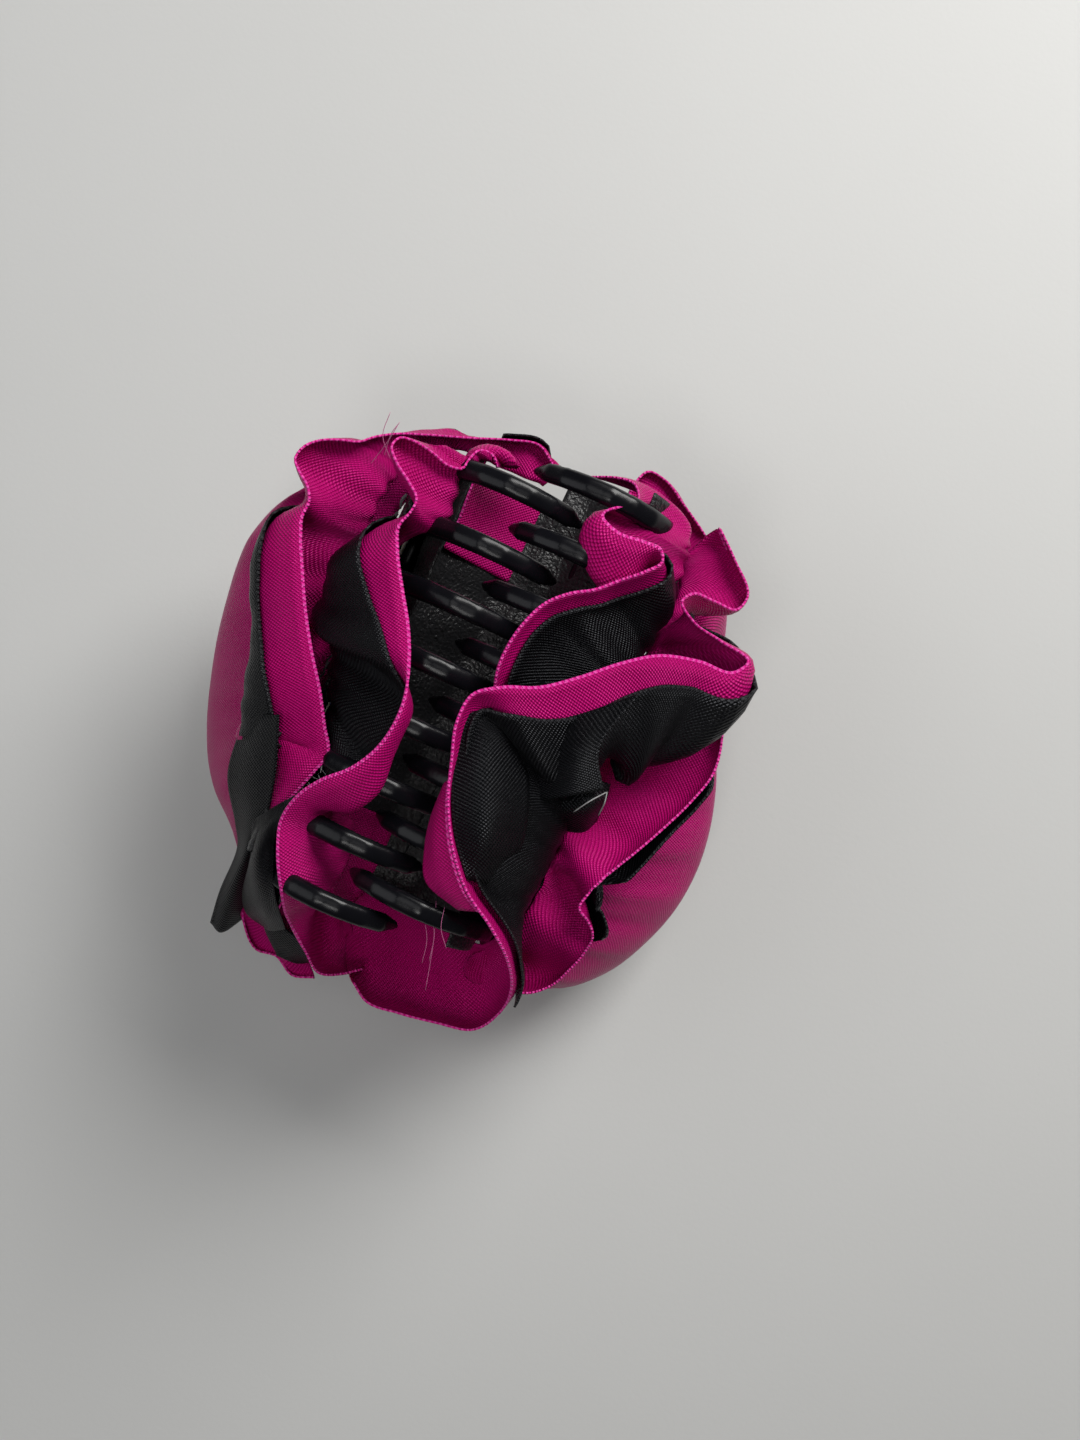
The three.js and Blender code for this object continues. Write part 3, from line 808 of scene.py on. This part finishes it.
# Places on the bench, rail by rail, of the smaller bits of ribbon.
LEFT_TAIL = [
    [
        (-43.8, 0.9, 57),
        (-44.7, -8.5, 55),
        (-47.6, -17.7, 49),
        (-51.2, -23.8, 40),
        (-54.4, -31.4, 31),
        (-57.2, -38.2, 23),
    ],
    [
        (-47.7, 0.9, 53.5),
        (-49.9, -8.7, 51),
        (-51.0, -18.0, 46),
        (-52.6, -23.6, 42),
        (-57.1, -32.1, 33),
        (-61.1, -40.7, 24),
    ],
    [
        (-51.0, 0.9, 49),
        (-54.9, -9.2, 45.5),
        (-54.8, -18.4, 40),
        (-55.4, -23.8, 36),
        (-60.1, -32.0, 29),
        (-63.4, -38.9, 23),
    ],
]
LEFT_DRAPE = [
    [(-40.6, -12.4, 57), (-43.8, -17.3, 57.5), (-44.6, -23.0, 57.5), (-44.6, -29.6, 56), (-44.4, -36.4, 48)],
    [(-45.5, -15.0, 54), (-47.8, -20.3, 55), (-48.6, -25.0, 55), (-48.8, -31.5, 50), (-48.3, -37.8, 41)],
    [(-50.0, -17.5, 48), (-52.3, -25.6, 40), (-54.6, -31.6, 35), (-54.8, -35.9, 31), (-52.0, -38.5, 30)],
]
LEFT_FLAP = [
    [(-34.5, -6.0, 47), (-31.5, -8.2, 49), (-27.5, -6.0, 51), (-24.5, -4.0, 52)],
    [(-34.8, -0.5, 49), (-31.6, -1.5, 52.5), (-28.0, -2.0, 53), (-24.0, -1.5, 53)],
    [(-34.6, 5.6, 49), (-31.5, 6.9, 52), (-28.0, 5.0, 53), (-24.3, 1.4, 53)],
]
LEFT_CORNER = [
    [(-51.5, -35.0, 36), (-46.0, -39.0, 35), (-41.5, -42.5, 35)],
    [(-51.0, -40.0, 31), (-46.5, -43.0, 31), (-42.5, -44.8, 31)],
    [(-49.8, -44.6, 27), (-46.3, -46.0, 27), (-43.1, -45.6, 28)],
]
RIGHT_PINCH = [
    [(1.0, -9.5, 54), (7.5, -9.5, 56), (12.0, -11.0, 53)],
    [(2.3, -14.4, 55.5), (7.8, -14.0, 58), (11.2, -13.4, 55)],
    [(1.5, -18.4, 50), (7.0, -19.2, 52), (9.8, -17.4, 50)],
]
RIGHT_CUP = [
    [(-2.5, 1.5, 61.5), (-2.3, -4.2, 60.5), (-1.8, -12.7, 60), (-2.8, -20.3, 58.5), (-6.2, -27.8, 55.5)],
    [(-8.0, 2.0, 65.5), (-8.2, -3.3, 65.5), (-8.2, -11.5, 65.5), (-8.5, -18.9, 64.5), (-9.3, -27.1, 60.5)],
    [(-13.2, 0.5, 66.5), (-14.0, -6.5, 66.3), (-14.3, -13.2, 66), (-13.7, -19.8, 64.8), (-12.0, -26.1, 62.8)],
]
RIGHT_CREASE = [
    [(-3.3, -0.8, 60), (-2.5, -6.7, 59), (-1.7, -13.5, 58)],
    [(5.8, 0.8, 63), (5.0, -5.8, 62.5), (5.0, -12.5, 60.5)],
    [(16.4, 4.4, 61), (9.9, -4.1, 61.5), (10.5, -11.7, 58.5)],
]
RIGHT_FOLD = [
    [(-15.6, -10.5, 65), (-17.9, -16, 62.5), (-19, -21.4, 61.6), (-18.7, -26.8, 61.4), (-13.6, -31.2, 61.4)],
    [(-15.2, -10, 66.5), (-16.7, -15, 65), (-17.2, -21.2, 64.2), (-16, -27, 63), (-12, -31.3, 62.2)],
    [(-14.5, -9.5, 67.6), (-14.9, -14, 66.7), (-14.3, -21, 65.7), (-12.4, -27.7, 63.7), (-10, -31.4, 62.5)],
]
BLACK_BITS = [
    ("left", "tail", LEFT_TAIL),
    ("left", "flap", LEFT_FLAP),
    ("left", "drape", LEFT_DRAPE),
    ("left", "corner", LEFT_CORNER),
    ("right", "pinch", RIGHT_PINCH),
    ("right", "cup", RIGHT_CUP),
    ("right", "crease", RIGHT_CREASE),
]


def loose_bits():
    """Smaller bits of ribbon that carry single folds."""
    for side, bit, net in BLACK_BITS:
        patch(f"{side}_black_{bit}", net, BLACK, side)
    patch("right_magenta_fold", RIGHT_FOLD, MAGENTA, "right")


# Places on the bench of threads and loose fibres.
TACKING = [
    [(5.6, -15.4, 58.0), (8.4, -13.4, 59.5), (11.3, -12.1, 56.5)],
    [(11.3, -12.1, 56.5), (10.8, -14.0, 57), (9.9, -16.2, 54.5)],
]
TOP_FIBRES = [
    [(-25.5, 44.5, 54), (-26.5, 48.0, 56), (-25.0, 51.5, 58)],
    [(-26.5, 45.0, 54), (-25.0, 48.0, 57), (-23.4, 49.8, 58)],
    [(-29.0, 44.0, 52), (-26.0, 46.5, 56), (-23.8, 49.2, 58)],
]
LOWER_FIBRES = [
    [(-17.2, -30.0, 60), (-17.8, -37.0, 58), (-19.4, -45.8, 55)],
    [(-18.4, -30.6, 60), (-17.6, -35.5, 59), (-18.6, -40.5, 57)],
    [(-15.8, -31.0, 60), (-16.4, -34.5, 60), (-15.6, -38.0, 59)],
    [(-19.6, -31.5, 59), (-18.9, -36.5, 58), (-19.9, -41.0, 56)],
]
CUT_END = np.array([(-35.8, -6.4, 56.0), (-47.0, -17.6, 48.0)])  # of the left middle ribbon
WARP_ENDS = 16
FIBRE_POINTS = 14


def fibres(name, paths, radius, material, side):
    """Threads along paths on the bench, as one piece."""
    parts = []
    for path in paths:
        knots = np.linspace(0, 1, len(path))
        line = smooth_curve(bench(path), knots, np.linspace(0, 1, FIBRE_POINTS))
        parts.append(tube(line, radius, sides=6))
    vertices, faces = joined(parts)
    new_object(name, vertices, faces, material, f"{side}_half")


def frayed_end():
    """Short ends of warp standing out of the left middle ribbon's cut."""
    rng = np.random.default_rng(seed=4)
    start, end = CUT_END
    paths = []
    for share in np.linspace(0.02, 0.96, WARP_ENDS):
        foot = start + (end - start) * share + rng.normal(0, 0.2, 3)
        lean = np.array([rng.normal(1.2, 0.9), rng.normal(-1.3, 0.6), 0.3])
        paths.append([foot, foot + lean * 0.6 + [0, 0, 0.4], foot + lean * 1.3])
    fibres("left_frayed_warp", paths, 0.07, GREY_THREAD, "left")


def threads():
    fibres("right_tacking_thread", TACKING, 0.11, GREY_THREAD, "right")
    fibres("left_top_fibres", TOP_FIBRES, 0.06, PINK_THREAD, "left")
    fibres("right_lower_fibres", LOWER_FIBRES, 0.05, PINK_THREAD, "right")
    frayed_end()


# ---------------------------------------------------------------- jaws, pin, spring
JAW_VOXEL = 0.42  # mm between points of a jaw's evened skin


def finish_jaw(side):
    """The moulded half keeps its CAD shape: its facets are smoothed and it gets its plastic."""
    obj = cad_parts[f"{side}_jaw"]
    remesh = obj.modifiers.new("even_skin", "REMESH")
    remesh.mode = "VOXEL"
    remesh.voxel_size = JAW_VOXEL * MM
    remesh.use_smooth_shade = True
    smooth = obj.modifiers.new("moulded_smoothness", "SMOOTH")
    smooth.factor = 0.5
    smooth.iterations = 9
    obj.data.materials.clear()
    obj.data.materials.append(PLASTIC)


# Radius of the pin and place along it in mm, from the tip of one head to the tip of the other.
PIN_PROFILE = [(0, -20), (1.2, -19.8), (1.75, -19.3), (1.85, -18.9), (1.7, -18.6), (1, -18.6)]
PIN_PROFILE += [(1, 18.6), (1.5, 18.6), (1.6, 18.9), (1.3, 19.4), (0.7, 19.65), (0, 19.7)]
PIN_SIDES = 40


def hinge_pin():
    """Steel pin with a head at each end."""
    sides = PIN_SIDES
    first, *shoulders, last = PIN_PROFILE
    vertices = []
    for radius, y in shoulders:
        for k in range(sides):
            angle = 2 * math.pi * k / sides
            vertices.append(HINGE + (radius * math.cos(angle), y, radius * math.sin(angle)))
    faces = ring_walls(len(shoulders), sides)
    for (_, y), ring, turn in ((first, 0, 1), (last, len(shoulders) - 1, -1)):
        tip = len(vertices)
        vertices.append(HINGE + (0, y, 0))
        for k in range(sides):
            j = (k + 1) % sides
            faces.append((tip, ring * sides + k, ring * sides + j)[::turn])
    obj = new_object("headed_pin", vertices, faces, STEEL, "left_half")
    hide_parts("hinge_pin")


def torsion_spring():
    """Coil round the pin with a leg down each thumb tab."""
    radius, wire = 2.4, 0.55
    turns, pitch = 7, 1.45
    leg, lean = 14, math.radians(25)
    start = math.pi - lean
    sweep = -(2 * math.pi * turns + math.pi - 2 * lean)
    t = np.linspace(0, 1, 60 * turns)
    angle = start + sweep * t
    coil = np.column_stack([radius * np.cos(angle), turns * pitch * (t - 0.5), radius * np.sin(angle)])
    legs = []
    for end, way in ((0, -1), (-1, 1)):
        reach = np.linspace(0, leg, 24)[1:, None]
        direction = np.array([way * math.sin(angle[end]), 0, -way * math.cos(angle[end])])
        legs.append(coil[end] + reach * direction)
    path = np.concatenate([legs[0][::-1], coil, legs[1]])
    vertices, faces = tube(path + HINGE, wire, sides=12)
    obj = new_object("wound_spring", vertices, faces, STEEL, None)
    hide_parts("torsion_spring")
    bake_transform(obj)


# ---------------------------------------------------------------- backing, linings, glue and stitches
# Outside and inside of a jaw's wall: mm outwards from the pin and up from it.
JAW_PROFILE = [(10.5, 6.6), (14, 9), (17.5, 12.5), (19.8, 17), (20.6, 24), (19.6, 29.5), (17.2, 34)]
JAW_INSIDE = [(-0.6, 4.6), (4.6, 4.6), (8.4, 7.2), (13, 10.4), (17, 14.6), (18.9, 19.5), (18.9, 25)]
JAW_INSIDE += [(17.4, 30), (14.6, 34)]
BAND_LENGTH = 74
BAND_THICKNESS = 0.9
WEAVE_PITCH = 0.95
WEAVE_DEPTH = 0.28
BAND_EDGE = 0.8  # mm in from a cut end in which the weave flattens
LINING_STEP = 0.7
GLUE_ROWS = 22
GLUE_COLUMNS = 90
GLUE_THICKNESS = 0.75
STITCH = 2.6
STITCH_GAP = 0.9
LAST_STITCH = 34
# How far out and how high a row of stitches runs, and where it starts along the comb.
STITCH_ROWS = {"inner": (23.9, 51.2, -4), "middle": (25.2, 43.9, -17), "outer": (24.0, 35.0, -35)}


def comb_middle(side):
    """Place of a comb's middle along the hinge: the two combs stand half a pitch apart."""
    return HINGE[1] + SIGN[side] * TOOTH_PITCH / 4


def over_jaw(side, offset, low, high, rows, outline=JAW_PROFILE):
    """Points over a jaw, offset mm out from an outline of its wall, from low to high shares."""
    profile = np.array([(x, 0.0, z) for x, z in outline])
    knots = lengths_along(profile)
    at = np.linspace(low, high, rows) * knots[-1]
    line = smooth_curve(profile, knots, at)
    along = unit(np.gradient(line, axis=0))
    out = np.column_stack([along[:, 2], np.zeros(rows), -along[:, 0]])
    line = line + out * offset
    out[:, 0] *= SIGN[side]
    line[:, 0] *= SIGN[side]
    return line + [0, 0, HINGE[2]], out


def swept(line, out, y, relief):
    """Grid of a line over a jaw carried to each y, with relief[y, line] mm raised along out."""
    grid = np.repeat(line[None], len(y), axis=0)
    grid[..., 1] = y[:, None]
    return grid + out[None] * relief[..., None]


def woven_band(side):
    """Coarse woven backing: over-and-under bumps about a millimetre apart."""
    line, out = over_jaw(side, offset=3.3, low=0.0, high=0.84, rows=120)
    height = lengths_along(line)
    middle, reach = comb_middle(side), BAND_LENGTH / 2
    y = np.linspace(middle - reach, middle + reach, 240)
    weave = np.sin(y[:, None] * math.pi / WEAVE_PITCH) * np.sin(height[None, :] * math.pi / WEAVE_PITCH)
    edge = 1 - np.exp(-np.minimum(y - y[0], y[-1] - y)[:, None] / BAND_EDGE)
    grid = swept(line, out, y, WEAVE_DEPTH * weave * edge)
    vertices, faces = closed_sheet(grid, np.full(grid.shape[:2], BAND_THICKNESS))
    obj = new_object(f"{side}_woven_band", vertices, faces, WEBBING, f"{side}_half")
    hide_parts(f"{side}_backing")


def lining(side, name, start, end, material, offset=0.0, low=0.0):
    """Cloth lying over the inside of a jaw, from low share of its height up to the teeth."""
    line, out = over_jaw(side, offset, low, high=1.0, rows=46, outline=JAW_INSIDE)
    height = lengths_along(line)[None, :]
    y = np.linspace(start, end, int((end - start) / LINING_STEP))
    ripple = 0.25 * np.sin(y[:, None] / 1.9 + height / 6) + 0.2 * np.sin(height / 2.6)
    cloth(name, swept(line, out, y, ripple), y - start, material, side)


def line_mouth():
    """Webbing inside both jaws. The left innermost ribbon's ends are turned in over the comb's ends."""
    lining("left", "left_webbing_lining", -39.3, 45.8, WEBBING, -0.4)
    lining("right", "right_webbing_lining", -33.8, 51.2, WEBBING)
    lining("left", "left_upper_turn_in", 29.2, 46, MAGENTA, -1.0, 0.1)
    lining("left", "left_lower_turn_in", -40, -21, MAGENTA, -1.0, 0.1)


def glue_beads(side):
    """Run of set glue squeezed between jaw and band."""
    line, out = over_jaw(side, offset=1.95, low=0.12, high=0.58, rows=GLUE_ROWS)
    y = HINGE[1] + np.linspace(-25, 25, GLUE_COLUMNS)
    row = np.arange(GLUE_ROWS)[None]
    bulge = 0.12 * np.sin(y[:, None] / 2.3) + 0.1 * np.sin(row / 2.1 + y[:, None] / 4)
    across = np.abs(np.linspace(-1, 1, GLUE_ROWS))[None]
    ends = np.abs(np.linspace(-1, 1, GLUE_COLUMNS))[:, None]
    thickness = GLUE_THICKNESS * np.sqrt(np.maximum(0.06, 1 - np.maximum(across, ends) ** 6))
    vertices, faces = closed_sheet(swept(line, out, y, bulge), thickness)
    obj = new_object(f"{side}_glue_beads", vertices, faces, GLUE, f"{side}_half")
    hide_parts(f"{side}_glue_strip")


def running_stitches(side, row, x, z, start):
    """Gathering thread: a row of stitches along a ribbon's foot."""
    parts = []
    t = np.linspace(0, 1, 9)
    rise = 0.35 * np.sin(math.pi * t)
    for y in np.arange(start, LAST_STITCH, STITCH + STITCH_GAP):
        slant = 0.25 * math.sin(1.7 * y)
        points = np.column_stack([x + rise, comb_middle(side) + y + STITCH * t, z + slant * (t - 0.5)])
        points[:, 0] *= SIGN[side]
        parts.append(tube(points, 0.2, sides=8))
    vertices, faces = joined(parts)
    obj = new_object(f"{side}_{row}_stitches", vertices, faces, DARK_THREAD, f"{side}_half")
    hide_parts(f"{side}_{row}_gather_thread")


# ---------------------------------------------------------------- floor, light, camera
FLOOR_REACH = 3.0  # m from the middle to each side
ROOM_COLOUR = (0.92, 0.95, 1.0, 1)
ROOM_STRENGTH = 0.06
# Name, place and size in mm on the bench, watts and colour.
LIGHTS = [
    ("window", (330, 380, 420), 330, 4.8, (1.0, 0.99, 0.97)),
    ("skylight", (-60, 60, 640), 260, 0.3, (1.0, 1.0, 1.0)),
    ("lamp", (-90, -190, 560), 130, 0.45, (1.0, 0.99, 0.97)),
    ("wall_bounce", (-420, 60, 380), 400, 0.6, (0.95, 0.97, 1.0)),
]
AIM = Vector((0, 0.005, 0.04))  # m, the middle of the claw


def stage():
    """Pale floor, dim room and the lights."""
    reach = FLOOR_REACH
    mesh = bpy.data.meshes.new("floor")
    corners = [(-reach, -reach, 0), (reach, -reach, 0), (reach, reach, 0), (-reach, reach, 0)]
    mesh.from_pydata(corners, [], [(0, 1, 2, 3)])
    mesh.materials.append(matte_floor())
    floor = bpy.data.objects.new("floor", mesh)
    bpy.context.scene.collection.objects.link(floor)

    world = bpy.data.worlds.new("room")
    bpy.context.scene.world = world
    world.use_nodes = True
    background = world.node_tree.nodes["Background"]
    background.inputs["Color"].default_value = ROOM_COLOUR
    background.inputs["Strength"].default_value = ROOM_STRENGTH
    for name, place, size, watts, colour in LIGHTS:
        area_light(name, place, size, watts, colour)


def area_light(name, place, size, watts, colour):
    """Soft square light on the bench, aimed at the claw."""
    data = bpy.data.lights.new(name, "AREA")
    data.size = size * MM
    data.energy = watts
    data.color = colour
    light = bpy.data.objects.new(name, data)
    light.location = Vector(bench([place])[0] * MM)
    light.rotation_euler = (AIM - light.location).to_track_quat("-Z", "Y").to_euler()
    bpy.context.scene.collection.objects.link(light)


def camera():
    """Looking straight down on the bench."""
    data = bpy.data.cameras.new("camera")
    data.lens = LENS
    data.sensor_width = SENSOR
    data.clip_start = 0.01
    obj = bpy.data.objects.new("camera", data)
    obj.location = (BENCH_ORIGIN[0] * MM, BENCH_ORIGIN[1] * MM, CAMERA_HEIGHT * MM)
    obj.rotation_euler = (0, 0, BENCH_TURN)
    bpy.context.scene.collection.objects.link(obj)
    bpy.context.scene.camera = obj


camera()
stage()
for ruffle_plan in RUFFLES:
    ruffle(*ruffle_plan)
loose_bits()
threads()
line_mouth()
for side in SIDES:
    finish_jaw(side)
    woven_band(side)
    glue_beads(side)
    for row, (x, z, start) in STITCH_ROWS.items():
        running_stitches(side, row, x, z, start)
hinge_pin()
torsion_spring()

bpy.context.scene.view_settings.view_transform = "Standard"
bpy.context.view_layer.update()
